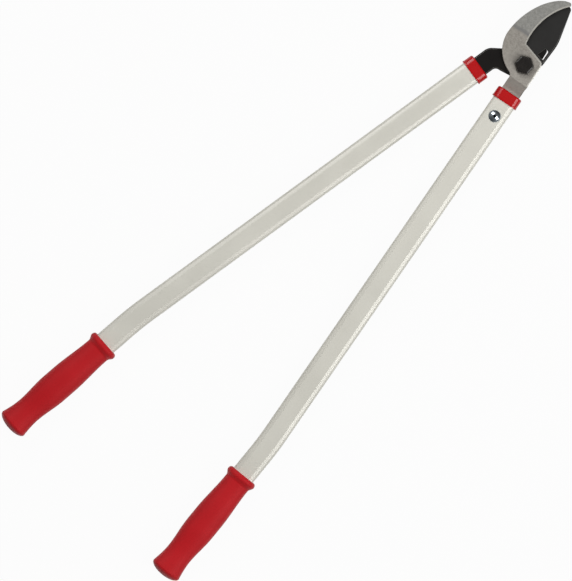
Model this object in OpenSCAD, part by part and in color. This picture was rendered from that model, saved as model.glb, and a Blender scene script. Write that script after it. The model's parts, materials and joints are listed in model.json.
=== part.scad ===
// Two-handed bypass lopper, lying flat with the hook jaw uppermost and the jaws shut.
// The pivot axis is Z through the origin, +Y runs towards the jaw tips along the bisector of
// the handles, +Z is up, and z = 0 is the surface that the bolt end and the grips rest on.

/* [Handles] */
// Angle between the two straight tubes with the jaws shut
handle_angle = 19.3; // [14:0.1:40]
// Width of the flat-sided tube
tube_w = 25.6; // [21:0.1:34]
// Thickness of the tube
tube_t = 15; // [12:0.1:20]
// Wall of the tube
tube_wall = 1.3; // [1:0.1:2.2]
// Outer corner radius of the tube
tube_r = 5; // [3:0.1:5.8]
// Run from the ferrule's front face to the bend
bend_at = 446; // [200:1:700]
// Angle of the bend, towards the other handle
bend_angle = 4.7; // [0.5:0.1:12]
// Radius of the bend's centre line
bend_radius = 330; // [100:5:600]
// Distance of the hook's tube axis outside the pivot
hook_axis = 4.8; // [2:0.1:8]
// Distance of the blade's tube axis outside the pivot
blade_axis = 26.4; // [23:0.1:32]
// Distance from the pivot to the front of the hook's ferrule
hook_ferrule_at = 31.9; // [31.5:0.1:50]
// Distance from the pivot to the front of the blade's ferrule
blade_ferrule_at = 37.6; // [35:0.1:50]

/* [Ferrules] */
// Length of a ferrule
ferrule_l = 12; // [9:0.1:25]
// Wall of a ferrule round the tube
ferrule_wall = 1.65; // [1:0.05:4]
// Thickness of a ferrule's front wall
ferrule_front = 2.5; // [1.5:0.1:5]

/* [Grips] */
// Run from the bend to the front of the grip
grip_from_bend = 41.3; // [25:0.1:120]
// Length of a grip
grip_l = 134.3; // [110:0.1:200]
// Length of the bead at the front
bead_l = 8; // [6:0.5:14]
// Wall over the bead, at the tube's edges
bead_wall = 4.35; // [3:0.05:8]
// Wall at the neck behind the bead
neck_wall = 1.5; // [1.3:0.1:5]
// Wall at the belly
belly_wall = 3.75; // [2:0.05:8]
// Wall at the waist before the flared end
waist_wall = 1.45; // [1.3:0.05:5]
// Wall at the flared end
flare_wall = 4; // [2:0.05:8]
// How much thicker the wall is over the tube's flats
flat_extra = 3.15; // [1:0.05:5]
// Solid length behind the end plug
grip_end = 9; // [8:0.5:20]

/* [Jaws] */
// Reach of the hook's tip from the pivot
hook_reach = 80.9; // [72:0.1:100]
// Reach of the cutting blade's tip from the pivot
blade_reach = 74; // [68:0.1:92]
// Thickness of the hook
hook_t = 5; // [4:0.1:6.5]
// Thickness of the cutting blade, and of the lever's tang beside it
blade_t = 4.5; // [3.5:0.1:6]
// Thickness of the lever's plate under the blade
lever_plate_t = 4; // [3:0.1:6]
// Length of a tang inside its handle
tang_l = 55; // [42:1:120]
// Distance from the pivot to the start of the step in the hook's shank
step_at = 17.6; // [17.4:0.1:20]
// Length of the step in the hook's shank
step_l = 11.5; // [8:0.1:11.5]
// Width of the bevel ground on the cutting edge
grind_w = 9; // [4:0.5:12]
// Width of the chamfer along the hook's concave edge
hook_chamfer_w = 1.3; // [0.4:0.1:2]
// Depth of that chamfer
hook_chamfer_depth = 0.55; // [0.2:0.05:1.5]

/* [Pivot] */
// Diameter of the bolt
bolt_d = 12; // [10:0.1:14.5]
// Width across the flats of the bolt head and the nut
hex_af = 19; // [17:0.5:24]
// Height of the bolt head
head_h = 7.5; // [5:0.1:10]
// Height of the lock nut
nut_h = 5.9; // [5:0.1:10]
// Wall of the bush
bush_wall = 2; // [1:0.1:3]
// Wall of the blade's eye round the bush
eye_wall = 6; // [4:0.1:8]
// How far the lever's eye stands out beyond the blade's
eye_lip = 0.3; // [0.1:0.1:2]
// Thickness of the flat washer
washer_t = 1; // [0.8:0.1:2]
// Diameter of the flat washer
washer_d = 24; // [23:0.5:30]
// Thickness of the disc spring's metal
spring_t = 0.6; // [0.4:0.1:1]
// Overall height of the disc spring
spring_h = 1; // [0.7:0.05:1.5]
// Length of the bolt beyond the nut
bolt_proud = 0.65; // [0.3:0.05:3]

/* [Tang joints] */
// Diameter of a tang screw
screw_d = 6; // [4:0.5:7]
// Diameter of its domed head
screw_head_d = 12.6; // [9:0.1:14]
// Height of its domed head
screw_head_h = 3; // [1.5:0.1:4]
// Distance from the ferrule's front to the screw
screw_at = 29.5; // [22:0.5:36]
// Side wall of the sleeve between tang and tube
sleeve_wall = 0.7; // [0.5:0.1:4]
// Length of the sleeve beyond the end of the tang
sleeve_past = 3; // [1:0.5:10]

/* [Clearances] */
// Gap between plates that turn on each other
plate_gap = 0.1; // [0.05:0.05:0.3]
// Radial clearance of the bolt in its holes
bolt_clear = 0.05; // [0.02:0.01:0.1]
// Gap round pressed and slid-on pieces
fit_clear = 0.05; // [0.03:0.01:0.15]
// Gap of a grip on its tube
grip_clear = 0.15; // [0.1:0.05:0.3]
// Gap between the blade's eye and the lever's shoulder
seat_clear = 3; // [2:0.1:5]
// Gap outside the driving lug in the blade's window
lug_relief = 0.9; // [0.5:0.1:2]

/* [Hidden] */
$fn = 64;

steel = "#96948F";
dark_steel = "#2D2C2A";
black_steel = "#1C1917";
zinc = "#B9BCC0";
bronze = "#A8814A";
nylon = "#DAD7CC";
silver = "#D4D2C9";
red = "#B02529";

// Heights. The lever's tang and the cutting blade lie on the middle plane of the tubes.
stack_drop = blade_t / 2 + plate_gap + lever_plate_t + plate_gap + washer_t + spring_h + nut_h + bolt_proud;
grip_drop = tube_t / 2 + max(bead_wall, belly_wall, flare_wall) + flat_extra;
tube_z = max(stack_drop, grip_drop);
blade_z = tube_z - blade_t / 2;
hook_z = blade_z + blade_t + plate_gap;
lever_z = blade_z - plate_gap - lever_plate_t;
washer_z = lever_z - plate_gap - washer_t;
spring_z = washer_z - spring_h;
nut_z = spring_z - nut_h;
bolt_z = nut_z - bolt_proud;
hook_tang_z = tube_z - hook_t / 2;

// Radii round the pivot
bolt_r = bolt_d / 2;
bore_r = bolt_r + bolt_clear;
bush_r = bore_r + bush_wall;
blade_eye_r = bush_r + eye_wall;
lever_eye_r = blade_eye_r + eye_lip;
lever_seat_r = blade_eye_r + seat_clear;
lever_land = 9;
lever_plate_r = lever_seat_r + lever_land;

// Tube
tube_in_w = tube_w - 2 * tube_wall;
tube_in_t = tube_t - 2 * tube_wall;
tube_in_r = tube_r - tube_wall;
tang_w = tube_in_w - 2 * sleeve_wall - 4 * fit_clear;
bend_tangent = bend_radius * tan(bend_angle / 2);
tube_mouth = ferrule_front + fit_clear;
plug_flange = 3;
plug_l = 20;
tube_end = grip_from_bend + grip_l - grip_end - plug_flange - 2 * fit_clear;

// How far cutting shapes run past the faces that they cut
over = 1;

function polar(r, a) = r * [cos(a), sin(a)];

// Points along the arc from a to b that stands bow to the left of the straight line between them
arc_steps = 20;
function turn_left(v) = [-v.y, v.x];
function arc(a, b, bow, n = arc_steps) =
    let (
        half = norm(b - a) / 2,
        radius = (half * half + bow * bow) / (2 * bow),
        centre = (a + b) / 2 + turn_left(b - a) / norm(b - a) * (bow - radius),
        from = a - centre,
        start = atan2(from.y, from.x),
        sweep = -4 * atan(bow / half)
    )
    [for (i = [0:n]) centre + polar(abs(radius), start + sweep * i / n)];
function arc_radius(a, b, bow) = (norm(b - a) * norm(b - a) / 4 + bow * bow) / (2 * bow);
function arc_centre(a, b, bow) =
    (a + b) / 2 + turn_left(b - a) / norm(b - a) * (bow - arc_radius(a, b, bow));

// Places of the two halves. The blade's handle is the hook's handle turned over.
module hook_half() rotate(handle_angle / 2) children();
module blade_half() rotate(-handle_angle / 2) children();
module hook_handle()
    hook_half() translate([hook_axis, -hook_ferrule_at, tube_z]) children();
module blade_handle()
    blade_half() translate([-blade_axis, -blade_ferrule_at, tube_z]) rotate([0, 180, 0]) children();
module past_bend() translate([0, -bend_at]) rotate(-bend_angle) children();

// A profile in X and Z drawn out along -Y from y = 0
module along(length) rotate([90, 0, 0]) linear_extrude(length) children();

module rounded_rect(w, t, r) {
    square([w - 2 * r, t], center = true);
    square([w, t - 2 * r], center = true);
    for (x = [-1, 1], y = [-1, 1]) translate([x * (w / 2 - r), y * (t / 2 - r)]) circle(r);
}

// Hook jaw, in its own half's frame
hook_in = hook_axis - tang_w / 2;
hook_out = hook_axis + tang_w / 2;
hook_tang_end = -hook_ferrule_at - tang_l;
hook_neck = [hook_in, -18.4];
hook_hip = [hook_in - 3.4, -14.2];
hook_back = [-33.8, 19];
hook_crown = [-22.1, hook_reach - 21.1];
hook_brow = [-9.3, hook_reach - 5.9];
hook_nose = [2, hook_reach];
hook_lip = [5.4, hook_reach - 2.8];
hook_throat = [-11.1, 20.9];
hook_notch = [-8.9, 19];
hook_boss = hook_out + 0.5;
hook_shoulder = [hook_boss - 3.6, 13];
hook_side = [hook_boss, 5];
hook_waist = [hook_boss, -18];
hook_cheek = [hook_out, -23];
hook_bow = -7;
hook_outline = concat(
    [[hook_in, hook_tang_end]],
    arc(hook_neck, hook_hip, -0.6),
    arc(hook_hip, hook_back, 6.5),
    arc(hook_back, hook_crown, 2.8),
    arc(hook_crown, hook_brow, 0.85),
    arc(hook_brow, hook_nose, 0.78),
    arc(hook_nose, hook_lip, 1.1),
    arc(hook_lip, hook_throat, hook_bow, 2 * arc_steps),
    arc(hook_throat, hook_notch, -0.6),
    arc(hook_shoulder, hook_side, 1.2),
    [hook_waist, hook_cheek, [hook_out, hook_tang_end]]
);

// Lower line of the hook seen from its side: flat jaw, step down to the tube's middle plane, tang
hook_under = [
    [hook_reach + over, hook_z], [-step_at, hook_z],
    [-step_at - step_l, hook_tang_z], [hook_tang_end - over, hook_tang_z],
];
hook_over = [for (i = [len(hook_under) - 1:-1:0]) hook_under[i] + [0, hook_t]];
hook_span = 2 * (max([for (p = hook_outline) abs(p.x)]) + over);

module hook_chamfer_cut() {
    r = abs(arc_radius(hook_lip, hook_throat, hook_bow));
    c = arc_centre(hook_lip, hook_throat, hook_bow);
    to_lip = hook_lip - c;
    to_throat = hook_throat - c;
    first = atan2(to_lip.y, to_lip.x);
    sweep = acos(to_lip * to_throat / (r * r));
    half_step = sweep / (4 * arc_steps);
    slope = hook_chamfer_depth / hook_chamfer_w;
    translate([c.x, c.y, hook_z + hook_t]) rotate(first + half_step)
        rotate_extrude(angle = sweep - 2 * half_step) polygon([
            [r - over, -hook_chamfer_depth - over * slope],
            [r + hook_chamfer_w + over, over * slope], [r - over, over * slope],
        ]);
}

module hook_blade() color(steel) hook_half() difference() {
    intersection() {
        linear_extrude(hook_z + hook_t + over) polygon(hook_outline);
        translate([hook_span / 2, 0]) rotate([90, 0, -90]) linear_extrude(hook_span)
            polygon([for (p = concat(hook_under, hook_over)) [-p.x, p.y]]);
    }
    translate([0, 0, hook_z - over]) cylinder(r = bore_r, h = hook_t + 2 * over);
    translate([hook_axis, -hook_ferrule_at - screw_at, hook_tang_z - over])
        cylinder(d = screw_d + 2 * fit_clear, h = hook_t + 2 * over);
    hook_chamfer_cut();
}

// Cutting blade, in its own half's frame
blade_heel = [-21, 13.5];
blade_tip = [-22.3, blade_reach];
blade_point = blade_tip + [5.3, -0.7];
blade_spine = [0, blade_reach - 26.8];
blade_back = [6.4, 32.7];
blade_hump = [11.6, 15.9];
blade_root_out = [13.2, 4.7];
blade_root_in = [-13.5, 3.7];
blade_spur = [-15.5, 8];
edge_bow = 9;
edge_land = 0.4;
blade_outline = concat(
    arc(blade_heel, blade_tip, edge_bow, 2 * arc_steps),
    arc(blade_tip, blade_point, 0.8),
    arc(blade_spine, blade_back, 0.6),
    arc(blade_hump, blade_root_out, -0.6),
    [[0, 0], blade_root_in, blade_spur]
);

// The window in the blade's heel, and the lug that fills it but for the relief on its outer side,
// of which a share goes round the top and its corner
window_inner = -0.5;
window_low_in = 18;
window_high_in = 28.3;
window_top = [2.8, 29];
window_corner = [4.2, 28];
window_low_out = [7.2, 19.3];
top_share = 0.5;
corner_share = 0.9;
function window(clear, relief) = [
    [window_inner + clear, window_low_in + clear],
    [window_inner + clear, window_high_in - clear],
    [window_top.x - relief, window_top.y - relief * top_share - clear],
    [window_corner.x - relief, window_corner.y - relief * corner_share - clear],
    [window_low_out.x - relief, window_low_out.y + clear],
];

// What the grinding wheel takes off the underside along the curved edge
module edge_grind() {
    r = arc_radius(blade_heel, blade_tip, edge_bow);
    c = arc_centre(blade_heel, blade_tip, edge_bow);
    rise = blade_t - edge_land;
    wheel_w = 3;
    edge_clear = 0.1;
    intersection() {
        translate([c.x, c.y, blade_z]) rotate_extrude() polygon([
            [r - grind_w, 0], [r + edge_clear, rise], [r + wheel_w, rise],
            [r + wheel_w, -over], [r - grind_w, -over],
        ]);
        translate([-r, blade_heel.y, blade_z - over]) cube([2 * r, blade_reach, blade_t + over]);
    }
}

module cutting_blade() color(dark_steel) blade_half() difference() {
    union() {
        translate([0, 0, blade_z]) linear_extrude(blade_t) polygon(blade_outline);
        translate([0, 0, blade_z]) cylinder(r = blade_eye_r, h = blade_t);
    }
    translate([0, 0, blade_z - over]) {
        cylinder(r = bush_r + fit_clear, h = blade_t + 2 * over);
        linear_extrude(blade_t + 2 * over) polygon(window(0, 0));
    }
    edge_grind();
}

// Lever arm: tang and shoulder level with the blade, a plate under it, and the driving lug
lever_out = -blade_axis - tang_w / 2;
lever_in = -blade_axis + tang_w / 2;
lever_tang_end = -blade_ferrule_at - tang_l;
lever_brow = [-13, 10.2];
lever_chin = [0.5, -17.8];
chin_tangent = -50;
lever_outline = concat(
    [[lever_in, lever_tang_end], [lever_out, lever_tang_end]],
    arc([lever_out, -26], [lever_out + 2.4, -16.5], 0.9),
    [lever_brow, polar(lever_eye_r, chin_tangent), lever_chin],
    arc([lever_in + 4.2, -23.7], [lever_in, -29], -1.1)
);
lug = window(fit_clear, lug_relief);
lug_root_r = lever_eye_r - 2;
lug_root_angle = 25;
lug_drop = 0.6;
lug_outline = concat(
    [polar(lug_root_r, 180 - lug_root_angle)], [for (i = [1:4]) lug[i]], [polar(lug_root_r, lug_root_angle)]
);

module lever_arm() color(black_steel) blade_half() difference() {
    union() {
        difference() {
            union() {
                translate([0, 0, blade_z]) linear_extrude(blade_t) polygon(lever_outline);
                translate([0, 0, lever_z]) linear_extrude(blade_z - lever_z) intersection() {
                    polygon(lever_outline);
                    circle(lever_plate_r);
                }
            }
            translate([0, 0, blade_z - plate_gap]) cylinder(r = lever_seat_r, h = blade_t + over);
        }
        translate([0, 0, lever_z]) linear_extrude(lever_plate_t) {
            circle(lever_eye_r);
            polygon(lug_outline);
        }
        translate([0, 0, lever_z]) linear_extrude(blade_z + blade_t - lug_drop - lever_z) polygon(lug);
    }
    translate([0, 0, lever_z - over]) cylinder(r = bush_r + fit_clear, h = lever_plate_t + 2 * over);
    translate([-blade_axis, -blade_ferrule_at - screw_at, blade_z - over])
        cylinder(d = screw_d + 2 * fit_clear, h = blade_t + 2 * over);
}

// Pivot
hex_chamfer = 0.8;
hex_corner_d = hex_af / cos(30);
hex_chamfer_d = hex_af - hex_chamfer;
hex_chamfer_rise = (hex_corner_d - hex_chamfer_d) / 2 * tan(30);
bolt_point = 1;
insert_t = 1.5;
insert_wall = 1.8;
insert_r = bore_r + insert_wall;
head_z = hook_z + hook_t;
bolt_turn = 21.5;

// A hexagon with both ends turned to a 30 degree cone where the flags ask for it
module hex(height, low, high) intersection() {
    cylinder(d = hex_corner_d, h = height, $fn = 6);
    rotate_extrude() polygon([
        [0, 0], [(low ? hex_chamfer_d : hex_corner_d) / 2, 0], [hex_corner_d / 2, low ? hex_chamfer_rise : 0],
        [hex_corner_d / 2, height - (high ? hex_chamfer_rise : 0)],
        [(high ? hex_chamfer_d : hex_corner_d) / 2, height], [0, height],
    ]);
}

module pivot_bolt() color(black_steel) hook_half() {
    translate([0, 0, head_z]) rotate(bolt_turn) hex(head_h, false, true);
    translate([0, 0, bolt_z + bolt_point]) cylinder(r = bolt_r, h = head_z - bolt_z - bolt_point);
    translate([0, 0, bolt_z]) cylinder(r1 = bolt_r - bolt_point, r2 = bolt_r, h = bolt_point);
}

module ring(z, outer_r, inner_r, height) translate([0, 0, z]) difference() {
    cylinder(r = outer_r, h = height);
    translate([0, 0, -over]) cylinder(r = inner_r, h = height + 2 * over);
}

module pivot_bush() color(bronze)
    ring(lever_z, bush_r, bore_r, blade_z + blade_t - lever_z);

module flat_washer() color(zinc)
    ring(washer_z, washer_d / 2, bore_r, washer_t);

module disc_spring() color(zinc) translate([0, 0, spring_z]) rotate_extrude() polygon([
    [bore_r, 0], [hex_af / 2, spring_h - spring_t], [hex_af / 2, spring_h], [bore_r, spring_t],
]);

module lock_nut() color(zinc) difference() {
    translate([0, 0, nut_z]) hex(nut_h, true, true);
    translate([0, 0, nut_z - over]) {
        cylinder(r = bore_r, h = nut_h + 2 * over);
        cylinder(r = insert_r + fit_clear, h = over + insert_t + fit_clear);
    }
}

module nut_insert() color(nylon)
    ring(nut_z, insert_r, bore_r, insert_t);

// Handles, from the ferrule's front face at y = 0 along -Y, with the screw on the +Z side
ferrule_w = tube_w + 2 * ferrule_wall;
ferrule_t = tube_t + 2 * ferrule_wall;
ferrule_chamfer = 1;
slot_clear = 0.2;
screw_tip = 1.5;
socket_d = 3.5;
socket_l = 1.4;

// The bend laps a little over both straight runs, and stands proud of them by a hair
bend_lap = 0.2;
bend_swell = 0.02;
module bent_bar(w, t, r, overrun) {
    straight = bend_at - bend_tangent;
    translate([0, overrun - tube_mouth]) along(straight - tube_mouth + overrun) rounded_rect(w, t, r);
    translate([-bend_radius, -straight]) rotate(-bend_angle - bend_lap)
        rotate_extrude(angle = bend_angle + 2 * bend_lap) translate([bend_radius, 0])
            rounded_rect(w + 2 * bend_swell, t + 2 * bend_swell, r + bend_swell);
    past_bend() translate([0, -bend_tangent]) along(tube_end - bend_tangent + overrun)
        rounded_rect(w, t, r);
}

module tube() color(silver) difference() {
    bent_bar(tube_w, tube_t, tube_r, 0);
    bent_bar(tube_in_w, tube_in_t, tube_in_r, over);
    translate([0, -screw_at, tube_in_t / 2 - over])
        cylinder(d = screw_d + 2 * fit_clear, h = tube_wall + 2 * over);
}

// A block with its front edges cut back all round
function chamfered(w, length, cut) = [
    [-w / 2, -length], [-w / 2, -cut], [cut - w / 2, 0],
    [w / 2 - cut, 0], [w / 2, -cut], [w / 2, -length],
];
module front_chamfer(w, t, length, cut) intersection() {
    translate([0, 0, -t]) linear_extrude(2 * t) polygon(chamfered(w, length, cut));
    translate([-w, 0, 0]) rotate([90, 0, 90]) linear_extrude(2 * w)
        polygon([for (p = chamfered(t, length, cut)) [p.y, p.x]]);
}

module ferrule(tang_t) color(red) difference() {
    intersection() {
        along(ferrule_l) rounded_rect(ferrule_w, ferrule_t, tube_r + ferrule_wall);
        front_chamfer(ferrule_w, ferrule_t, ferrule_l, ferrule_chamfer);
    }
    translate([0, -ferrule_front]) along(ferrule_l)
        rounded_rect(tube_w + 2 * fit_clear, tube_t + 2 * fit_clear, tube_r + fit_clear);
    translate([0, over]) along(ferrule_front + 2 * over)
        square([tang_w + 2 * slot_clear, tang_t + 2 * slot_clear], center = true);
}

module tang_sleeve(tang_t) color(nylon) difference() {
    translate([0, -tube_mouth]) along(tang_l + sleeve_past - tube_mouth) difference() {
        rounded_rect(tube_in_w - 2 * fit_clear, tube_in_t - 2 * fit_clear, tube_in_r - fit_clear);
        square([tang_w + 2 * fit_clear, tang_t + 2 * fit_clear], center = true);
    }
    translate([0, -screw_at, -tube_t]) cylinder(d = screw_d + 2 * fit_clear, h = 2 * tube_t);
}

module tang_screw(tang_t) color(zinc) translate([0, -screw_at]) {
    dome_r = (screw_head_d * screw_head_d / 4 + screw_head_h * screw_head_h) / (2 * screw_head_h);
    tip_z = -tang_t / 2 - screw_tip;
    difference() {
        intersection() {
            translate([0, 0, tube_t / 2]) cylinder(d = screw_head_d, h = screw_head_h);
            translate([0, 0, tube_t / 2 + screw_head_h - dome_r]) sphere(dome_r);
        }
        translate([0, 0, tube_t / 2 + screw_head_h - socket_l])
            cylinder(d = socket_d, h = socket_l + over, $fn = 6);
    }
    translate([0, 0, tip_z]) cylinder(d = screw_d, h = tube_t / 2 - tip_z);
}

module end_plug() color(nylon) past_bend() {
    translate([0, plug_l - tube_end]) along(plug_l)
        rounded_rect(tube_in_w - 2 * fit_clear, tube_in_t - 2 * fit_clear, tube_in_r - fit_clear);
    translate([0, -tube_end]) along(plug_flange) rounded_rect(tube_w, tube_t, tube_r);
}

// Grip: rings of a rounded section along the axis, with a blind bore for the tube
grip_sides = 32;
section_power = 2.4;
neck_at = bead_l + 4;
belly_from = 58;
belly_to = 72;
waist_at = grip_l - 27.8;
flare_at = grip_l - 7;
flare_power = 1.7;
bore_l = grip_l - grip_end;
function ease(u) = (1 - cos(180 * u)) / 2;
function mix(a, b, u) = a + (b - a) * u;

// Distance along the grip, wall there, and how far the domed end has closed in
grip_stations = concat(
    [for (u = [0:1 / 6:1]) [bead_l * ease(u), mix(neck_wall, bead_wall, sin(180 * u)), 1]],
    [[neck_at, neck_wall, 1]],
    [for (u = [0.2:0.2:1]) [mix(neck_at, belly_from, u), mix(neck_wall, belly_wall, ease(u)), 1]],
    [for (u = [0:0.2:0.8]) [mix(belly_to, waist_at, u), mix(belly_wall, waist_wall, ease(u)), 1]],
    [for (u = [0:1 / 6:1])
        [mix(waist_at, flare_at, u), mix(waist_wall, flare_wall, pow(u, flare_power)), 1]],
    [for (u = [0.3, 0.55, 0.76, 0.91]) [mix(flare_at, grip_l, u), flare_wall, sqrt(1 - u * u)]]
);
function signed_power(v, p) = sign(v) * pow(abs(v), p);
function grip_ring(s, wall, closing) = let (
    half_w = (tube_w / 2 + wall) * closing,
    half_t = (tube_t / 2 + wall + flat_extra) * closing
) [
    for (k = [0:grip_sides - 1]) let (a = 360 * (k + 0.5) / grip_sides) [
        half_w * signed_power(cos(a), 2 / section_power), -s, half_t * signed_power(sin(a), 2 / section_power)
    ]
];
function bore_ring(s) = let (w = tube_w / 2 + grip_clear, t = tube_t / 2 + grip_clear, n = grip_sides / 4) [
    for (q = [0:3], i = [0:n - 1]) let (a = 90 * (q + i / (n - 1)), c = 90 * q + 45)
        [sign(cos(c)) * (w - tube_r) + tube_r * cos(a), -s, sign(sin(c)) * (t - tube_r) + tube_r * sin(a)]
];
grip_rings = concat([bore_ring(bore_l), bore_ring(0)], [for (p = grip_stations) grip_ring(p[0], p[1], p[2])]);
grip_points = concat([for (r = grip_rings) each r], [[0, -grip_l, 0]]);
grip_faces = concat(
    [[for (k = [0:grip_sides - 1]) k]],
    [for (i = [0:len(grip_rings) - 2], k = [0:grip_sides - 1]) let (
        a = i * grip_sides + k, b = i * grip_sides + (k + 1) % grip_sides
    ) each [[a, b + grip_sides, b], [a, a + grip_sides, b + grip_sides]]],
    [for (k = [0:grip_sides - 1]) let (last = (len(grip_rings) - 1) * grip_sides)
        [last + k, len(grip_points) - 1, last + (k + 1) % grip_sides]]
);

module grip() color(red) past_bend() translate([0, -grip_from_bend]) polyhedron(grip_points, grip_faces);

module hook_tube() hook_handle() tube();
module hook_ferrule() hook_handle() ferrule(hook_t);
module hook_tang_sleeve() hook_handle() tang_sleeve(hook_t);
module hook_tang_screw() hook_handle() tang_screw(hook_t);
module hook_end_plug() hook_handle() end_plug();
module hook_grip() hook_handle() grip();
module blade_tube() blade_handle() tube();
module blade_ferrule() blade_handle() ferrule(blade_t);
module blade_tang_sleeve() blade_handle() tang_sleeve(blade_t);
module blade_tang_screw() blade_handle() tang_screw(blade_t);
module blade_end_plug() blade_handle() end_plug();
module blade_grip() blade_handle() grip();

hook_blade();
cutting_blade();
lever_arm();
pivot_bolt();
pivot_bush();
flat_washer();
disc_spring();
lock_nut();
nut_insert();
hook_tube();
hook_ferrule();
hook_tang_sleeve();
hook_tang_screw();
hook_end_plug();
hook_grip();
blade_tube();
blade_ferrule();
blade_tang_sleeve();
blade_tang_screw();
blade_end_plug();
blade_grip();
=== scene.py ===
import json
import math

import bmesh
import bpy
from bmesh.types import BMEdge, BMFace, BMVert
from mathutils import Color, Matrix, Vector


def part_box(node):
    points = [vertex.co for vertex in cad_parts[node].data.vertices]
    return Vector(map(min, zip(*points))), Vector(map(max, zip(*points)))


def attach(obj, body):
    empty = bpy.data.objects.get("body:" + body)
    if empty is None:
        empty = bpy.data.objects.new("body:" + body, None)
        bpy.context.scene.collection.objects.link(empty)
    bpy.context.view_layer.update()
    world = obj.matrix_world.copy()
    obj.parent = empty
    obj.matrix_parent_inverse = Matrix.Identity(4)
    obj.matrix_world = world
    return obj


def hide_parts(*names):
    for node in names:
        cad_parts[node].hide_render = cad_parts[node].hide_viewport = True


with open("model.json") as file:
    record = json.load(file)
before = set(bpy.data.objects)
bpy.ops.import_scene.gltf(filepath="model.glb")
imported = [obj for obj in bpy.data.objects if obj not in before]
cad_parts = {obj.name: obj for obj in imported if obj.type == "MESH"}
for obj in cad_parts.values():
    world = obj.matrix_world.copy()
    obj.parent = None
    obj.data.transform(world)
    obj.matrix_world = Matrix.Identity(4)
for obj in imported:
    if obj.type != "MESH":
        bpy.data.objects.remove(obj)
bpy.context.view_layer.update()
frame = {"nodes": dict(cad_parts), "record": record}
packed = frame["nodes"]
record = frame["record"]
bodies = record["behaviour"]["bodies"]
body_of = {node: body for body, members in bodies.items() for node in members}

MM = 0.001

# The photograph: its size and the pivot in it in pixels, its scale, and how far it is turned
photo_size = (572, 581)
pivot_pixel = (523.5, 64.75)
pixel = 1.045 * MM
photo_turn = math.radians(44.21)
# The height at which that scale holds, and the camera's height in metres
photo_height = 18 * MM
camera_height = 8

# Handles, as the construction has them
half_angle = math.radians(19.3 / 2)
turn_of = {"hook": half_angle, "blade": -half_angle}
tube_w = 25.6 * MM
tube_t = 15 * MM
tube_r = 5 * MM
tube_wall = 1.3 * MM
flat_w = 14.9 * MM
shoulder_drop = 2.3 * MM
shoulder_round = 2.6 * MM
tube_mouth = 2.55 * MM
tube_end = 163 * MM
bend_at = 446 * MM
bend_angle = math.radians(4.7)
bend_radius = 330 * MM
bend_steps = 12
fit = 0.05 * MM


class Wire:
    """An output of a shader node. Arithmetic on it adds Math nodes."""

    def __init__(self, nodes, socket):
        self.nodes = nodes
        self.socket = socket

    def output(self, name):
        return Wire(self.nodes, self.socket.node.outputs[name])

    def maths(self, operation, *values):
        return self.nodes.node("ShaderNodeMath", {"operation": operation}, dict(enumerate(values)))

    def __add__(self, other):
        return self.maths("ADD", self, other)

    def __sub__(self, other):
        return self.maths("SUBTRACT", self, other)

    def __rsub__(self, other):
        return self.maths("SUBTRACT", other, self)

    def __mul__(self, other):
        return self.maths("MULTIPLY", self, other)

    __radd__ = __add__
    __rmul__ = __mul__


class Nodes:
    """The shader nodes of a material or of the world."""

    def __init__(self, owner):
        owner.use_nodes = True
        self.owner = owner
        self.tree = owner.node_tree
        self.tree.nodes.clear()

    def node(self, kind, settings=None, sockets=None, output=0):
        """Adds a node: its settings first, then the values or wires of its sockets. Gives one output."""
        made = self.tree.nodes.new(kind)
        for name, value in (settings or {}).items():
            setattr(made, name, value)
        for name, value in (sockets or {}).items():
            if isinstance(value, Wire):
                self.tree.links.new(value.socket, made.inputs[name])
            else:
                made.inputs[name].default_value = value
        return Wire(self, made.outputs[output]) if len(made.outputs) else made


class Finish(Nodes):
    """A material, with the patterns that the finishes of this tool share."""

    def __init__(self, name):
        super().__init__(bpy.data.materials.new(name))

    def space(self, turn=0.0, stretch=(1, 1, 1)):
        """Object coordinates turned about Z, then stretched."""
        place = self.node("ShaderNodeTexCoord", output="Object")
        turned = self.node("ShaderNodeMapping", {}, {"Vector": place, "Rotation": (0, 0, -turn)})
        return self.node("ShaderNodeMapping", {}, {"Vector": turned, "Scale": stretch})

    def noise(self, space, scale, detail=2.0, roughness=0.5):
        sockets = {"Vector": space, "Scale": scale, "Detail": detail, "Roughness": roughness}
        return self.node("ShaderNodeTexNoise", {}, sockets)

    def ramp(self, value, low, high):
        """0 below low, 1 above high, smooth between."""
        sockets = {"Value": value, "From Min": low, "From Max": high}
        return self.node("ShaderNodeMapRange", {"interpolation_type": "SMOOTHSTEP"}, sockets)

    def blend(self, first, second, amount):
        sockets = {0: amount, 6: first, 7: second}
        return self.node("ShaderNodeMix", {"data_type": "RGBA"}, sockets, output=2)

    def mottle(self, dark, light, pattern):
        """Two shades that follow the middle range of a noise."""
        return self.blend(colour(dark), colour(light), self.ramp(pattern, 0.3, 0.7))

    def surface(self, shade, roughness, height=None, relief=0.0, **constants):
        """The finished shader. height is a pattern from 0 to 1 that stands up to relief metres."""
        sockets = {"Base Color": shade, "Roughness": roughness}
        sockets.update({name.replace("_", " "): value for name, value in constants.items()})
        if height is not None:
            sockets["Normal"] = self.node("ShaderNodeBump", {}, {"Height": height, "Distance": relief})
        shader = self.node("ShaderNodeBsdfPrincipled", {}, sockets)
        self.node("ShaderNodeOutputMaterial", {}, {"Surface": shader})
        return self.owner


def colour(code):
    """The colour of six hex digits, as the shaders take it."""
    parts = [int(code[i:i + 2], 16) / 255 for i in (0, 2, 4)]
    return (*Color(parts).from_srgb_to_scene_linear(), 1.0)


# Finishes

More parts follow.
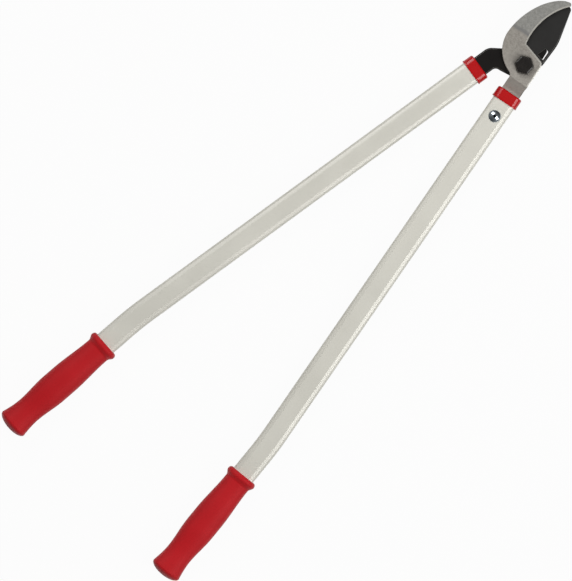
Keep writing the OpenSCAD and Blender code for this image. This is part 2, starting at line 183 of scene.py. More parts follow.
def silver_tube(side):
    made = Finish(f"silver_tube_{side}")
    lines = made.noise(made.space(turn_of[side], stretch=(1, 0.004, 1)), scale=1400, detail=3)
    cloud = made.noise(made.space(), scale=16, detail=3)
    shade = made.mottle("DAD8CE", "E2E0D6", cloud)
    shade = made.blend(shade, colour("CAC8BD"), made.ramp(lines, 0.6, 0.8) * 0.35)
    return made.surface(
        shade, 0.3 + 0.08 * lines, height=lines, relief=0.0012 * MM,
        Metallic=0.06, Specular_IOR_Level=0.45,
    )


def red_plastic(name, deep, light, roughness, grain, relief, **gloss):
    made = Finish(name)
    cloud = made.noise(made.space(), scale=22, detail=3)
    skin = made.noise(made.space(), scale=grain)
    shade = made.mottle(deep, light, cloud)
    return made.surface(shade, roughness + 0.03 * skin, height=skin, relief=relief, **gloss)


# Where the hook's tones pass into each other, along the jaw from the pivot: the border past which the jaw
# is painted cooler and darker as shade of its face sloping away, and how far that border wavers; a band of
# painted shade that starts and ends along it; and the shank, painted paler as painted light
slope_shade_border = (26 * MM, 31 * MM)
slope_shade_waver = 6 * MM
band_shade_start = (25 * MM, 28 * MM)
band_shade_end = (28.5 * MM, 32 * MM)
shank_light_border = (-16 * MM, 12 * MM)


def hook_steel():
    made = Finish("hook_steel")
    jaw = made.space(half_angle)
    blotch = made.noise(jaw, scale=420, detail=5, roughness=0.7)
    cloud = made.noise(jaw, scale=60)
    speck = made.noise(jaw, scale=1900)
    along = made.node("ShaderNodeSeparateXYZ", {}, {"Vector": jaw}, output="Y")
    tone = made.ramp(blotch * 0.55 + speck * 0.45, 0.36, 0.64)
    lit_jaw_tone = made.blend(colour("86817A"), colour("A39E96"), tone)
    # The second tone is painted shade: the jaw beyond the border is painted cooler and darker, as its face
    # slopes away
    shaded_jaw_tone = made.blend(colour("7F7E7A"), colour("9B9A95"), tone)
    along = along + slope_shade_waver * (cloud - 0.5)
    shade = made.blend(lit_jaw_tone, shaded_jaw_tone, made.ramp(along, *slope_shade_border))
    # Painted light: the shank is painted paler, where its face lies brighter lit
    lit_shank = made.blend(shade, colour("B4AFA7"), 0.3)
    shade = made.blend(lit_shank, shade, made.ramp(along, *shank_light_border))
    # Painted shade: a dark band along the border, where the face's slope changes
    band_shade = made.ramp(along, *band_shade_start) - made.ramp(along, *band_shade_end)
    shade = made.blend(shade, colour("727272"), band_shade * 0.8 * made.ramp(blotch, 0.25, 0.55))
    pits = blotch + 0.4 * speck
    return made.surface(shade, 0.46 + 0.14 * blotch, height=pits, relief=0.03 * MM, Metallic=0.35)


def ground_steel():
    made = Finish("ground_steel")
    strokes = made.noise(made.space(0.5, stretch=(1, 0.05, 1)), scale=2400)
    shade = made.blend(colour("B5B2AA"), colour("CFCCC4"), strokes)
    return made.surface(shade, 0.3 + 0.14 * strokes, height=strokes, relief=0.01 * MM, Metallic=0.3)


def blade_coating():
    made = Finish("blade_coating")
    cloud = made.noise(made.space(), scale=70, detail=3)
    peel = made.noise(made.space(), scale=900)
    shade = made.blend(colour("1F1E1D"), colour("252423"), cloud)
    return made.surface(shade, 0.34 + 0.1 * cloud, height=peel, relief=0.012 * MM, Specular_IOR_Level=0.3)


# Rubbed-bare edges, painted paler also as the highlight that a chamfer's crest catches
def rubbed_edge():
    made = Finish("rubbed_edge")
    wear = made.noise(made.space(), scale=500, detail=3)
    shade = made.mottle("45423F", "5C5955", wear)
    return made.surface(shade, 0.38 + 0.1 * wear, Metallic=0.2)


def forged_black():
    made = Finish("forged_black")
    scale = made.noise(made.space(), scale=320, detail=4, roughness=0.6)
    cloud = made.noise(made.space(), scale=45)
    shade = made.mottle("0C0908", "13100E", cloud + 0.4 * (scale - 0.5))
    return made.surface(shade, 0.44 + 0.2 * scale, height=scale, relief=0.05 * MM, Specular_IOR_Level=0.14)


def black_oxide():
    made = Finish("black_oxide")
    cloud = made.noise(made.space(), scale=180, detail=4, roughness=0.6)
    shade = made.mottle("120E0C", "1A1512", cloud)
    return made.surface(shade, 0.2 + 0.12 * cloud, height=cloud, relief=0.01 * MM, Specular_IOR_Level=0.55)


def plated(name, dull, bright, roughness, grain):
    made = Finish(name)
    cloud = made.noise(made.space(), scale=grain, detail=4, roughness=0.6)
    shade = made.mottle(dull, bright, cloud)
    return made.surface(shade, roughness + 0.1 * cloud, height=cloud, relief=0.008 * MM, Metallic=1.0)


def nylon():
    made = Finish("nylon")
    cloud = made.noise(made.space(), scale=90)
    grain = made.noise(made.space(), scale=1500, detail=1)
    shade = made.blend(colour("D6D2C4"), colour("E0DDD1"), cloud)
    return made.surface(shade, 0.45 + 0.1 * grain, height=grain, relief=0.01 * MM)


# Shaping

# How near two points are one, in a raw mesh and in a finished one
merge = 0.001 * MM
weld = 0.004 * MM
# How near a point is to a cutting plane, or to a level, to count as on it
on_plane = 0.0001 * MM
on_level = 0.01 * MM
# Angles between two faces: under the first they are one flat face, and past each of the others their edge
# counts as sharp
flat_angle = math.radians(0.3)
sharp = math.radians(34)
turned_sharp = math.radians(25)
crease = math.radians(14)
# A normal's part along an axis: past these a face is square to the axis, level or lying, and under the last
# it is upright
square = 0.999
level = 0.98
lying = 0.8
upright = 0.1
corner_steps = 8
round_steps = 4


def mix(a, b, u):
    return a + (b - a) * u


def ease(u):
    return (1 - math.cos(math.pi * u)) / 2


def shares(count):
    return [(i + 1) / count for i in range(count)]


def only(kind, found):
    return [g for g in found if isinstance(g, kind)]


def is_level(face):
    return abs(face.normal.z) > level


def looks_up(face):
    return face.normal.z > level


def is_upright(face):
    return abs(face.normal.z) < upright


def height_of(shape):
    heights = [v.co.z for v in shape.verts]
    return max(heights) - min(heights)


def sharp_edges(bm, angle=sharp):
    return [e for e in bm.edges if len(e.link_faces) == 2 and e.calc_face_angle() > angle]


def round_corners(bm, corners, cut, steps, keep_face):
    """Rounds corners of a flat face, cut back along its edges, keeps or drops it, and gives its edges."""
    rounded = bmesh.ops.bevel(
        bm, geom=corners, offset=cut, offset_type="OFFSET", affect="VERTICES",
        segments=steps, profile=0.5, material=-1,
    )
    face = rounded["verts"][0].link_faces[0]
    edges = list(face.edges)
    if not keep_face:
        bmesh.ops.delete(bm, geom=[face], context="FACES_ONLY")
    return edges


def rounded_loop(bm, width, thickness, radius, y, keep_face=False):
    """The edges of a rectangle with rounded corners, square to Y at y, with its face if it is kept."""
    corners = bmesh.ops.create_grid(bm, x_segments=1, y_segments=1, size=0.5)["verts"]
    bmesh.ops.scale(bm, vec=(width, thickness, 1), verts=corners)
    bmesh.ops.rotate(bm, matrix=Matrix.Rotation(math.pi / 2, 3, "X"), verts=corners)
    bmesh.ops.translate(bm, vec=(0, y, 0), verts=corners)
    return round_corners(bm, corners, radius, corner_steps, keep_face)


def tube_loop(bm, grow, y, keep_face=False):
    """The edges of the tube's section, grown all round: creased flats, slanted shoulders, round sides."""
    half_w = tube_w / 2 + grow
    half_t = tube_t / 2 + grow
    quarter = [(flat_w / 2, half_t), (half_w, half_t - shoulder_drop)]
    outline = quarter + [(x, -z) for x, z in reversed(quarter)]
    outline += [(-x, -z) for x, z in quarter] + [(-x, z) for x, z in reversed(quarter)]
    corners = [bm.verts.new((x, y, z)) for x, z in outline]
    bm.faces.new(corners)
    sides = [v for v in corners if abs(v.co.x) > flat_w / 2 + grow]
    return round_corners(bm, sides, shoulder_round, corner_steps, keep_face)


def circle_edges(bm, steps, radius, place=Matrix.Identity(4)):
    """The edges of a new circle."""
    ring = bmesh.ops.create_circle(bm, segments=steps, radius=radius, matrix=place)["verts"]
    return list(dict.fromkeys(e for v in ring for e in v.link_edges))


def draw_out(bm, edges, shift=(0, 0, 0), stretch=(1, 1, 1), centre=(0, 0, 0)):
    """Extrudes a loop of edges, stretches the new loop about a centre, shifts it and gives its edges."""
    made = bmesh.ops.extrude_edge_only(bm, edges=edges)["geom"]
    fresh = set(only(BMVert, made))
    bmesh.ops.scale(bm, vec=stretch, verts=list(fresh), space=Matrix.Translation(-Vector(centre)))
    bmesh.ops.translate(bm, vec=shift, verts=list(fresh))
    return [e for e in only(BMEdge, made) if set(e.verts) <= fresh]


def cut_faces(bm, faces, point, normal):
    """Cuts faces along a plane and gives those that are there then."""
    edges = dict.fromkeys(e for f in faces for e in f.edges)
    verts = dict.fromkeys(v for f in faces for v in f.verts)
    geom = [*faces, *edges, *verts]
    made = bmesh.ops.bisect_plane(bm, geom=geom, plane_co=point, plane_no=normal, dist=on_plane)
    return only(BMFace, made["geom"])


def break_edges(bm, edges, offset, segments=2):
    """Rounds edges and gives the new faces."""
    return bmesh.ops.bevel(
        bm, geom=edges, offset=offset, offset_type="OFFSET", affect="EDGES",
        segments=segments, profile=0.5, material=-1,
    )["faces"]


def chamfer_rims(bm, rims, width, crest_highlight):
    """Chamfers rims, and gives the crests between the chamfer and the level faces the second finish: rubbed
    bare, and a painted highlight.
    """
    slopes = break_edges(bm, rims, width, 1)
    sloping_faces = set(slopes)
    crests = [
        e for f in slopes for e in f.edges
        if any(is_level(g) for g in e.link_faces) and len(sloping_faces.intersection(e.link_faces)) == 1
    ]
    # Painted highlight: the crests take the paler rubbed-edge finish
    for f in break_edges(bm, crests, crest_highlight):
        f.material_index = 1


def cad_copy(node):
    """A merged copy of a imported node's mesh, with its flat faces made whole."""
    bm = bmesh.new()
    bm.from_mesh(packed[node].data)
    bmesh.ops.remove_doubles(bm, verts=bm.verts, dist=merge)
    bmesh.ops.dissolve_limit(bm, angle_limit=flat_angle, verts=bm.verts, edges=bm.edges)
    return bm


def finished(bm, name, node, finishes, place=None, wall=0.0, sharpest=sharp):
    """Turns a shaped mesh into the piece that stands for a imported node."""
    bmesh.ops.remove_doubles(bm, verts=bm.verts, dist=weld)
    bmesh.ops.dissolve_degenerate(bm, dist=weld, edges=bm.edges)
    # Where bevels meet, the weld can leave a flap with one free edge on a closed skin
    flaps = [f for f in bm.faces if {1, 3} <= {len(e.link_faces) for e in f.edges}]
    bmesh.ops.delete(bm, geom=flaps, context="FACES")
    if place is not None:
        bmesh.ops.transform(bm, matrix=place, verts=bm.verts)
    mesh = bpy.data.meshes.new(name)
    bm.to_mesh(mesh)
    bm.free()
    mesh.shade_smooth()
    mesh.set_sharp_from_angle(angle=sharpest)
    for finish in finishes:
        mesh.materials.append(finish)
    piece = bpy.data.objects.new(name, mesh)
    bpy.context.scene.collection.objects.link(piece)
    if wall:
        shell = piece.modifiers.new("wall", "SOLIDIFY")
        shell.thickness = wall
        shell.offset = -1
    even = piece.modifiers.new("even_normals", "WEIGHTED_NORMAL")
    even.keep_sharp = True
    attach(piece, body_of[node])
    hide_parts(node)
    return piece


# Handles: each is shaped from the ferrule's front at y = 0 along -Y, with its screw on the +Z side

def handle_place(side):
    """Where a handle lies, read off its packed ferrule."""
    turn = Matrix.Rotation(turn_of[side], 4, "Z")
    seen = [turn.inverted() @ v.co for v in packed[f"{side}_ferrule"].data.vertices]
    low = [min(p[i] for p in seen) for i in range(3)]
    high = [max(p[i] for p in seen) for i in range(3)]
    front = Vector(((low[0] + high[0]) / 2, high[1], (low[2] + high[2]) / 2))
    rolled = Matrix.Rotation(0 if side == "hook" else math.pi, 4, "Y")
    return turn @ Matrix.Translation(front) @ rolled


past_bend = Matrix.Translation((0, -bend_at, 0)) @ Matrix.Rotation(-bend_angle, 4, "Z")
screw_at = 29.5 * MM
screw_r = 3 * MM
dimple_r = 7 * MM
dimple_margin = 0.35 * MM
dimple_steps = 48
# Radius and depth of the pressed seat under the screw's head, from its rim inwards
dimple_rings = [(6.8 * MM, 0.1 * MM), (6.6 * MM, 0.3 * MM), (6.2 * MM, 0.4 * MM), (3.1 * MM, 0.4 * MM)]


def press_dimple(bm):
    """Presses the round seat of the screw into the flat face of the tube."""
    reach = dimple_r + dimple_margin
    for y in (-screw_at - reach, -screw_at + reach):
        cut_faces(bm, [f for f in bm.faces if f.normal.z > square], (0, y, 0), (0, 1, 0))
    patch = min(
        (f for f in bm.faces if f.normal.z > square),
        key=lambda f: abs(f.calc_center_median().y + screw_at),
    )
    bmesh.ops.bisect_edges(bm, edges=patch.edges, cuts=dimple_steps // 4 - 1)
    border = list(patch.edges)
    bmesh.ops.delete(bm, geom=[patch], context="FACES_ONLY")
    centre = (0, -screw_at, tube_t / 2)
    ring = circle_edges(bm, dimple_steps, dimple_r, Matrix.Translation(centre))
    bmesh.ops.bridge_loops(bm, edges=border + ring)
    radius, depth = dimple_r, 0
    for next_radius, next_depth in dimple_rings:
        ratio = next_radius / radius
        ring = draw_out(bm, ring, (0, 0, depth - next_depth), (ratio, ratio, 1), centre)
        radius, depth = next_radius, next_depth


def handle_tube(side, finish):
    bm = bmesh.new()
    bend_run = bend_radius * math.tan(bend_angle / 2)
    straight = bend_at - bend_run
    loop = tube_loop(bm, 0, -tube_mouth)
    loop = draw_out(bm, loop, (0, tube_mouth - straight, 0))
    bend = bmesh.ops.spin(
        bm, geom=loop, cent=(-bend_radius, -straight, 0), axis=(0, 0, 1), angle=-bend_angle, steps=bend_steps,
    )
    loop = only(BMEdge, bend["geom_last"])
    draw_out(bm, loop, Matrix.Rotation(-bend_angle, 3, "Z") @ Vector((0, bend_run - tube_end, 0)))
    bmesh.ops.remove_doubles(bm, verts=bm.verts, dist=merge)
    bmesh.ops.recalc_face_normals(bm, faces=bm.faces)
    press_dimple(bm)
    bmesh.ops.recalc_face_normals(bm, faces=bm.faces)
    node = f"{side}_tube"
    return finished(bm, f"{side}_handle_tube", node, [finish], handle_place(side), tube_wall, crease)


ferrule_l = 12 * MM
ferrule_wall = 1.65 * MM
ferrule_front = 2.5 * MM
front_round = 1.7 * MM
lip_l = 1.4 * MM
lip_h = 0.35 * MM
lip_round = 0.25 * MM
tang_w = 21.4 * MM
tang_t = {"hook": 5 * MM, "blade": 4.5 * MM}
slot_clear = 0.2 * MM


def cut_slot(bm, width, thickness):
    """Cuts the tang's slot through the two faces of the ferrule's front wall."""
    rims = []
    for y in (0, -ferrule_front):
        # The wall's whole face has more corners than any facet beside it
        faces = [
            f for f in bm.faces
            if abs(f.normal.y) > square and abs(f.calc_center_median().y - y) < on_level
            and len(f.verts) > corner_steps
        ]
        for axis, half in ((Vector((1, 0, 0)), width / 2), (Vector((0, 0, 1)), thickness / 2)):
            for reach in (-half, half):
                faces = cut_faces(bm, faces, axis * reach, axis)
        middle = min(faces, key=lambda f: f.calc_center_median().xz.length)
        rims += middle.edges
        bmesh.ops.delete(bm, geom=[middle], context="FACES_ONLY")
    bmesh.ops.bridge_loops(bm, edges=rims)


def ferrule(side, finish):
    bm = bmesh.new()
    width = tube_w + 2 * ferrule_wall
    thickness = tube_t + 2 * ferrule_wall
    rim = rounded_loop(bm, width, thickness, tube_r + ferrule_wall, 0, keep_face=True)
    loop = draw_out(bm, rim, (0, lip_l + lip_h - ferrule_l, 0))
    flare = (1 + 2 * lip_h / width, 1, 1 + 2 * lip_h / thickness)
    loop = draw_out(bm, loop, (0, -lip_h, 0), flare)
    loop = draw_out(bm, loop, (0, -lip_l, 0))
    inner = tube_loop(bm, fit, -ferrule_l)
    bmesh.ops.bridge_loops(bm, edges=loop + inner)
    inside = draw_out(bm, inner, (0, ferrule_l - ferrule_front, 0))
    bmesh.ops.holes_fill(bm, edges=inside)
    bmesh.ops.recalc_face_normals(bm, faces=bm.faces)
    break_edges(bm, rim, front_round, round_steps)
    cut_slot(bm, tang_w + 2 * slot_clear, tang_t[side] + 2 * slot_clear)
    lip = [e for e in sharp_edges(bm) if all(v.co.y < lip_l + 2 * lip_h - ferrule_l for v in e.verts)]
    break_edges(bm, lip, lip_round)
    bmesh.ops.recalc_face_normals(bm, faces=bm.faces)
    return finished(bm, f"{side}_collar", f"{side}_ferrule", [finish], handle_place(side))


head_r = 6.3 * MM
head_h = 3 * MM
head_rim = 0.55 * MM
head_rim_round = 0.2 * MM
recess_r = 1.6 * MM
recess_depth = 1.3 * MM
# The dome ends at this radius round the recess, whose walls are painted dark as shade from this far below its
# mouth
recess_mouth_r = recess_r * 1.08
recess_shade_from = 0.1 * MM
tip_l = 1.5 * MM
tip_chamfer = 0.5 * MM
dome_steps = 9
turned_steps = 48


def turned(bm, profile):
    """Spins a line of (radius, height) points round the Z axis."""
    line = [bm.verts.new((r, 0, z)) for r, z in profile]
    edges = [bm.edges.new(pair) for pair in zip(line, line[1:])]
    bmesh.ops.spin(
        bm, geom=line + edges, cent=(0, 0, 0), axis=(0, 0, 1), angle=2 * math.pi,
        steps=turned_steps, use_merge=True,
    )
    bmesh.ops.remove_doubles(bm, verts=bm.verts, dist=merge)


def dome_screw(side, finish, inside):
    """The tang screw: domed head with a small six-sided recess, seated in the pressed dimple."""
    bm = bmesh.new()
    seat = tube_t / 2 - dimple_rings[-1][1]
    rise = head_h - head_rim
    dome_r = (head_r ** 2 + rise ** 2) / (2 * rise)
    first = math.asin(recess_mouth_r / dome_r)
    last = math.asin(head_r / dome_r)
    centre = tube_t / 2 + head_h - dome_r
    angles = [mix(first, last, u) for u in [0.0] + shares(dome_steps)]
    dome = [(dome_r * math.sin(a), centre + dome_r * math.cos(a)) for a in angles]
    tip = -tang_t[side] / 2 - tip_l
    shank = [(head_r, seat), (screw_r, seat), (screw_r, tip + tip_chamfer)]
    point = [(screw_r - tip_chamfer, tip), (0, tip)]
    turned(bm, dome + shank + point)
    mouth = [e for e in bm.edges if len(e.link_faces) == 1]
    mouth_z = dome[0][1]
    hexagon = circle_edges(bm, 6, recess_r, Matrix.Translation((0, 0, mouth_z)))
    cut = bmesh.ops.subdivide_edges(bm, edges=hexagon, cuts=turned_steps // 6 - 1)
    hexagon = only(BMEdge, cut["geom"])
    bmesh.ops.bridge_loops(bm, edges=mouth + hexagon)
    bottom = draw_out(bm, hexagon, (0, 0, -recess_depth))
    bmesh.ops.holes_fill(bm, edges=bottom)
    bmesh.ops.recalc_face_normals(bm, faces=bm.faces)
    # Painted shade: the recess's walls below its mouth take the dark oxide finish
    for f in bm.faces:
        middle = f.calc_center_median()
        in_recess_shade = middle.to_2d().length < recess_r and 0 < middle.z < mouth_z - recess_shade_from
        f.material_index = int(in_recess_shade)
    rims = [e for e in sharp_edges(bm) if min(v.co.to_2d().length for v in e.verts) > head_r - on_level]
    break_edges(bm, rims, head_rim_round)
    place = handle_place(side) @ Matrix.Translation((0, -screw_at, 0))
    return finished(bm, f"{side}_dome_screw", f"{side}_tang_screw", [finish, inside], place)


grip_from_bend = 41.3 * MM
grip_l = 134.3 * MM
grip_end = 9 * MM
grip_clear = 0.15 * MM
bead_l = 8 * MM
bead_wall = 4.35 * MM
neck_at = 10.5 * MM
neck_wall = 1.5 * MM
belly_from = 58 * MM
belly_to = 72 * MM
belly_wall = 3.75 * MM
waist_at = grip_l - 27.8 * MM
waist_wall = 1.45 * MM
flare_at = grip_l - 7 * MM
flare_wall = 4 * MM
flare_power = 1.7
end_turn = math.radians(88)
flat_extra = 3.15 * MM
section_power = 2.4
grip_sides = 72
# Rings in each stretch of the grip
bead_rings = 8
neck_rings = 12
belly_rings = 14
waist_rings = 10
flare_rings = 10
end_rings = 12


def grip_stations():
    """Distance along the grip, wall there, and how far the domed end has closed in."""
    for u in [0.0] + shares(bead_rings):
        angle = math.pi / 2 * u
        yield bead_l / 2 * (1 - math.cos(angle)), mix(neck_wall, bead_wall, math.sin(angle)), 1
    for u in shares(neck_rings):
        yield mix(bead_l / 2, neck_at, u), mix(bead_wall, neck_wall, ease(u)), 1
    for u in shares(belly_rings):
        yield mix(neck_at, belly_from, u), mix(neck_wall, belly_wall, ease(u)), 1
    for u in [0.0] + shares(waist_rings):
        yield mix(belly_to, waist_at, u), mix(belly_wall, waist_wall, ease(u)), 1
    for u in shares(flare_rings):
        yield mix(waist_at, flare_at, u), mix(waist_wall, flare_wall, u ** flare_power), 1
    for u in shares(end_rings):
        angle = end_turn * u
        yield mix(flare_at, grip_l, math.sin(angle)), flare_wall, math.cos(angle)


def grip(side, finish):
    bm = bmesh.new()
    bore_l = grip_l - grip_end
    blind = tube_loop(bm, grip_clear, -bore_l, keep_face=True)
    mouth = draw_out(bm, blind, (0, bore_l, 0))
    loop = circle_edges(bm, grip_sides, 1)
    ring = list({v for e in loop for v in e.verts})
    for v in ring:
        v.co = Vector([math.copysign(abs(c) ** (2 / section_power), c) for c in (v.co.x, 0, v.co.y)])
    bmesh.ops.recalc_face_normals(bm, faces=bm.faces)
    # The ring starts one metre in half width and half thickness. Each station is drawn out of the last
    last, last_w, last_t = 0, 1, 1
    for along, wall, closing in grip_stations():
        half_w = (tube_w / 2 + wall) * closing
        half_t = (tube_t / 2 + wall + flat_extra) * closing
        stretch = (half_w / last_w, 1, half_t / last_t)
        if along == 0:
            bmesh.ops.scale(bm, vec=stretch, verts=ring)
            bmesh.ops.bridge_loops(bm, edges=mouth + loop)
        else:
            loop = draw_out(bm, loop, (0, last - along, 0), stretch)
        last, last_w, last_t = along, half_w, half_t
    bmesh.ops.holes_fill(bm, edges=loop)
    bmesh.ops.recalc_face_normals(bm, faces=bm.faces)
    place = handle_place(side) @ past_bend @ Matrix.Translation((0, -grip_from_bend, 0))
    return finished(bm, f"{side}_hand_grip", f"{side}_grip", [finish], place)


# Head

bolt_r = 6 * MM
bolt_point = 1 * MM
bolt_turn = math.radians(21.5)
hex_flats = 19 * MM
hex_corner_r = hex_flats / 2 / math.cos(math.pi / 6)
hex_corner_cut = 1.8 * MM
hex_steps = 5
hex_crown_round = 0.9 * MM
hex_straight = 2.6 * MM
hex_taper = 0.87
# The ground chamfer along the hook's inner rim: its end at the lip, its width, its depth beside the boss and
# along the jaw, where the one passes into the other, and the side of the boss that it runs along
chamfer_end = 78.2 * MM
chamfer_w = 1.6 * MM
boss_depth = 0.55 * MM
jaw_depth = 1.4 * MM
boss_end = 12 * MM
jaw_start = 24 * MM
boss_side = 12 * MM
# The chamfered rim looks in, with its normal across the jaw past this, and crowds together in the notch
looks_in = -0.1
notch_weld = 0.03 * MM
# The step in the hook's shank: the angles at its bends, and their round
step_angles = (0.3, 0.5)
bend_round = 1.2 * MM
# The hook's rims bound a face whose normal has a Z past this, and their round
hook_face = 0.85
hook_rim_round = 0.5 * MM
# Rims within these radii of the pivot are the bores'
hook_bore_zone = 8 * MM
blade_bore_zone = 9 * MM
# Ground slopes have normals with a Z under the first and past the second
sloping = 0.97
steepest = 0.2
# Chamfers of the blade and the lever, the width of their crests that is rubbed bare and painted paler as a
# highlight, and the least height of a side that has one
blade_chamfer = 1.3 * MM
blade_crest_highlight = 0.22 * MM
blade_side = 3 * MM
lever_chamfer = 1.1 * MM
lever_crest_highlight = 0.25 * MM
lever_side = 2.5 * MM
# The blade's window in its own half's frame, and the lever's lug in it
window_low = Vector((-0.6, 17.9)) * MM
window_high = Vector((7.3, 29.1)) * MM
window_chamfer = 0.45 * MM
lug_corner = Vector((1, 1))
lug_side = 2 * MM
lug_round = 0.6 * MM


def in_hook(vector):
    """A point or a normal seen from above in the hook half's frame."""
    return Matrix.Rotation(-half_angle, 2) @ vector.to_2d()


def in_blade(vert):
    """A vertex seen from above in the blade half's frame."""
    return Matrix.Rotation(half_angle, 2) @ vert.co.to_2d()


def in_window(edge):
    """Whether an edge of the blade or the lever lies in the blade's window."""
    seen = [in_blade(v) for v in edge.verts]
    return all(window_low[i] < p[i] < window_high[i] for p in seen for i in (0, 1))


def on_inner_rim(edge, top):
    """Whether an edge of the jaw's upper rim looks at the blade, or lies on that side below the boss."""
    way = min((in_hook(f.normal) for f in edge.link_faces), key=lambda n: n.x)
    seen = [in_hook(v.co) for v in edge.verts]
    upper = all(v.co.z > top - on_level for v in edge.verts) and all(p.y < chamfer_end for p in seen)
    placed = all(p.y > 0 and p.length > hook_bore_zone or p.x > boss_side for p in seen)
    return upper and placed and way.x > looks_in


def hook_jaw(steel, bright):
    bm = cad_copy("hook_blade")
    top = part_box("hook_blade")[1].z
    # The construction's short chamfer is filled up, for one that runs on round the notch and the boss
    short = [f for f in bm.faces if lying < f.normal.z < sloping and f.calc_center_median().y > 0]
    for v in {v for f in short for v in f.verts}:
        v.co.z = top
    bmesh.ops.dissolve_degenerate(bm, dist=merge, edges=bm.edges)
    bmesh.ops.dissolve_limit(bm, angle_limit=flat_angle, verts=bm.verts, edges=bm.edges)
    bends = [
        e for e in bm.edges
        if len(e.link_faces) == 2 and step_angles[0] < e.calc_face_angle() < step_angles[1]
        and all(abs(f.normal.z) > lying for f in e.link_faces)
    ]
    break_edges(bm, bends, bend_round, round_steps)
    rims = [e for e in sharp_edges(bm) if any(abs(f.normal.z) > hook_face for f in e.link_faces)]
    inner = [e for e in rims if on_inner_rim(e, top)]
    slopes = break_edges(bm, inner, chamfer_w, 1)
    for v in {v for f in slopes for v in f.verts if any(is_upright(g) for g in v.link_faces)}:
        along = (in_hook(v.co).y - boss_end) / (jaw_start - boss_end)
        v.co.z += chamfer_w - mix(boss_depth, jaw_depth, min(max(along, 0), 1))
    rims = [e for e in rims if e.is_valid and e not in inner]
    break_edges(bm, rims, hook_rim_round)
    for f in slopes:
        if f.is_valid:
            f.material_index = 1
    bmesh.ops.remove_doubles(bm, verts=bm.verts, dist=notch_weld)
    return finished(bm, "hook_jaw", "hook_blade", [steel, bright])


def curved_blade(coating, edge, bright):
    bm = cad_copy("cutting_blade")
    for f in bm.faces:
        f.material_index = 2 if -sloping < f.normal.z < -steepest else 0
    rims = [
        e for e in sharp_edges(bm)
        if any(is_level(f) for f in e.link_faces)
        and all(is_level(f) or is_upright(f) and height_of(f) > blade_side for f in e.link_faces)
        and not in_window(e) and min(v.co.to_2d().length for v in e.verts) > blade_bore_zone
    ]
    chamfer_rims(bm, rims, blade_chamfer, blade_crest_highlight)
    window = [e for e in sharp_edges(bm) if in_window(e) and any(looks_up(f) for f in e.link_faces)]
    # Painted highlight: the window's chamfer takes the paler rubbed-edge finish
    for f in break_edges(bm, window, window_chamfer, 1):
        f.material_index = 1
    return finished(bm, "curved_blade", "cutting_blade", [coating, edge, bright])


def forged_lever(black, edge):
    bm = cad_copy("lever_arm")
    rims = [
        e for e in sharp_edges(bm)
        if any(looks_up(f) for f in e.link_faces) and not in_window(e)
        and all(looks_up(f) or height_of(f) > lever_side for f in e.link_faces)
    ]
    chamfer_rims(bm, rims, lever_chamfer, lever_crest_highlight)
    corner = max(
        (e for e in sharp_edges(bm, crease) if in_window(e) and height_of(e) > lug_side),
        key=lambda e: sum(in_blade(v) @ lug_corner for v in e.verts),
    )
    break_edges(bm, [corner], lug_round, round_steps)
    return finished(bm, "forged_lever", "lever_arm", [black, edge])


def hex_bolt(finish):
    """The pivot bolt: a six-sided head that tapers to its round-edged top, on a plain shank."""
    bm = bmesh.new()
    low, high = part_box("pivot_bolt")
    head_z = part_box("hook_blade")[1].z
    # A circle's first vertex lies on +Y
    turn = half_angle + bolt_turn - math.pi / 2
    place = Matrix.Rotation(turn, 4, "Z") @ Matrix.Translation((0, 0, head_z))
    hexagon = bmesh.ops.create_circle(bm, cap_ends=True, segments=6, radius=hex_corner_r, matrix=place)
    base = round_corners(bm, hexagon["verts"], hex_corner_cut, hex_steps, keep_face=False)
    top = draw_out(bm, base, (0, 0, hex_straight))
    top = draw_out(bm, top, (0, 0, high.z - head_z - hex_straight), (hex_taper, hex_taper, 1))
    bmesh.ops.holes_fill(bm, edges=top)
    neck = circle_edges(bm, len(base), bolt_r, place)
    bmesh.ops.bridge_loops(bm, edges=base + neck)
    end = draw_out(bm, neck, (0, 0, low.z + bolt_point - head_z))
    taper = 1 - bolt_point / bolt_r
    end = draw_out(bm, end, (0, 0, -bolt_point), (taper, taper, 1))
    bmesh.ops.holes_fill(bm, edges=end)
    bmesh.ops.recalc_face_normals(bm, faces=bm.faces)
    crown = [e for e in sharp_edges(bm) if min(v.co.z for v in e.verts) > high.z - on_level]
    break_edges(bm, crown, hex_crown_round, hex_steps)
    return finished(bm, "hex_bolt", "pivot_bolt", [finish])


def turned_metal(node, name, finish, edge_round):
    bm = cad_copy(node)
    break_edges(bm, sharp_edges(bm, turned_sharp), edge_round)
    return finished(bm, name, node, [finish])


# The tool

bright = ground_steel()
oxide = black_oxide()
zinc = plated("zinc", "8F949A", "A9ADB2", roughness=0.3, grain=220)
chrome = plated("bright_screw", "B9C5D1", "D0D8DF", roughness=0.09, grain=160)
bronze = plated("bronze", "9A7440", "B58B50", roughness=0.32, grain=240)
clear_nylon = nylon()
ferrule_red = red_plastic(
    "red_ferrule", "B6060B", "BE0A0F", roughness=0.34, grain=260, relief=0.001 * MM,
    Specular_IOR_Level=0, Coat_Weight=1, Coat_Roughness=0.24,
)
grip_red = red_plastic(
    "red_grip", "C0101A", "C9141E", roughness=0.58, grain=1300, relief=0.005 * MM,
    Specular_IOR_Level=0.2, Sheen_Weight=0.3, Sheen_Roughness=0.45,
)

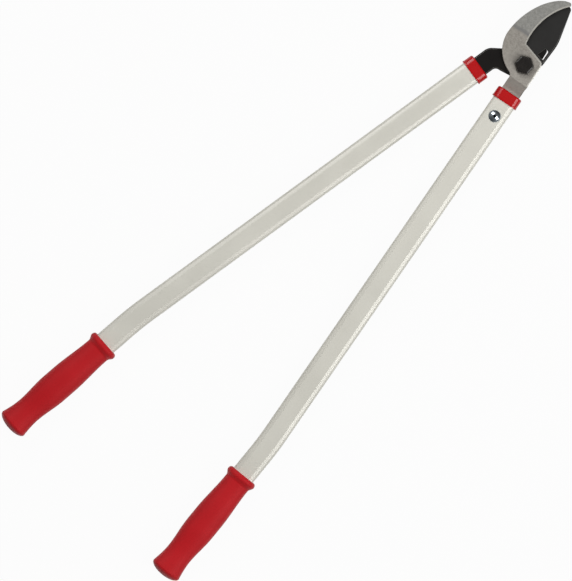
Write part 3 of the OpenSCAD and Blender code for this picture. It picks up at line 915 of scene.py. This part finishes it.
hidden = {"pivot_bush": bronze, "nut_insert": clear_nylon}
for side in turn_of:
    handle_tube(side, silver_tube(side))
    ferrule(side, ferrule_red)
    dome_screw(side, chrome, oxide)
    grip(side, grip_red)
    hidden.update({f"{side}_tang_sleeve": clear_nylon, f"{side}_end_plug": clear_nylon})
hook_jaw(hook_steel(), bright)
rubbed_highlight = rubbed_edge()
curved_blade(blade_coating(), rubbed_highlight, bright)
forged_lever(forged_black(), rubbed_highlight)
hex_bolt(oxide)
turned_metal("lock_nut", "self_locking_nut", zinc, edge_round=0.2 * MM)
turned_metal("flat_washer", "washer_plate", zinc, edge_round=0.12 * MM)
turned_metal("disc_spring", "spring_disc", zinc, edge_round=0.1 * MM)

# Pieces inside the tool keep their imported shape
for node, finish in hidden.items():
    for holder in packed[node].material_slots:
        holder.material = finish


# Floor, light and camera

floor_half = 6
floor_drop = 0.2 * MM
# How much of the floor's look is plain white. The rest takes the light and the shadow
floor_white = 0.96
# The world's strength: everywhere, at the two sides and overhead
world_level = 0.03
world_sides = 0.2
world_overhead = 0.12
lamp_aim = Vector((0, 0.5, 0))
lamp_distance = 2.4


def white_floor():
    made = Finish("white_floor")
    ray = made.node("ShaderNodeLightPath", output="Is Camera Ray")
    seen = ray + ray.output("Is Glossy Ray") + ray.output("Is Transmission Ray")
    lit = made.node("ShaderNodeBsdfDiffuse", {}, {"Color": colour("BDBDBC")})
    glow = made.node("ShaderNodeEmission", {}, {"Color": colour("FFFFFF")})
    both = made.node("ShaderNodeMixShader", {}, {0: seen * floor_white, 1: lit, 2: glow})
    made.node("ShaderNodeOutputMaterial", {}, {"Surface": both})
    return made.owner


def studio_floor():
    bm = bmesh.new()
    bmesh.ops.create_grid(bm, x_segments=8, y_segments=8, size=floor_half)
    mesh = bpy.data.meshes.new("floor")
    bm.to_mesh(mesh)
    bm.free()
    mesh.materials.append(white_floor())
    sheet = bpy.data.objects.new("floor", mesh)
    sheet.location.z = -floor_drop
    bpy.context.scene.collection.objects.link(sheet)


def studio_world():
    """Dim overhead and pale at the two sides, as in a studio with a pale wall along each handle."""
    world = bpy.data.worlds.new("studio")
    made = Nodes(world)
    way = made.node("ShaderNodeTexCoord", output="Generated")
    across = made.node("ShaderNodeSeparateXYZ", {}, {"Vector": way}, output="X")
    above = made.node("ShaderNodeMapRange", {}, {"Value": across.output("Z")})
    strength = world_level + world_sides * (across * across) + world_overhead * above
    sky = made.node("ShaderNodeBackground", {}, {"Color": colour("FFFEFB"), "Strength": strength})
    made.node("ShaderNodeOutputWorld", {}, {"Surface": sky})
    bpy.context.scene.world = world


def softbox(name, photo_azimuth, tilt, size, power):
    """An area lamp aimed past the head, at an angle seen in the photograph and a tilt from overhead."""
    azimuth = math.radians(photo_azimuth) + photo_turn
    tilt = math.radians(tilt)
    way = Vector((math.cos(azimuth) * math.sin(tilt), math.sin(azimuth) * math.sin(tilt), math.cos(tilt)))
    lamp = bpy.data.lights.new(name, "AREA")
    lamp.shape = "RECTANGLE"
    lamp.size, lamp.size_y = size
    lamp.energy = power
    box = bpy.data.objects.new(name, lamp)
    box.location = lamp_aim + lamp_distance * way
    box.rotation_euler = way.to_track_quat("Z", "Y").to_euler()
    bpy.context.scene.collection.objects.link(box)


def photo_camera():
    """Straight above the middle of the photograph, turned as it is."""
    middle = [(size - 1) / 2 for size in photo_size]
    offset = Vector((middle[0] - pivot_pixel[0], pivot_pixel[1] - middle[1], 0)) * pixel
    lens = bpy.data.cameras.new("photo_camera")
    lens.sensor_fit = "VERTICAL"
    lens.angle = 2 * math.atan(photo_size[1] * pixel / 2 / (camera_height - photo_height))
    camera = bpy.data.objects.new("photo_camera", lens)
    camera.location = Matrix.Rotation(photo_turn, 3, "Z") @ offset + Vector((0, 0, camera_height))
    camera.rotation_euler = (0, 0, photo_turn)
    bpy.context.scene.collection.objects.link(camera)
    bpy.context.scene.camera = camera


studio_floor()
studio_world()
softbox("upper_left_box", photo_azimuth=134, tilt=38, size=(1.3, 1.76), power=30.5)
softbox("lower_right_box", photo_azimuth=-60, tilt=40, size=(1.05, 1.76), power=32.5)
photo_camera()
bpy.context.scene.view_settings.view_transform = "Standard"
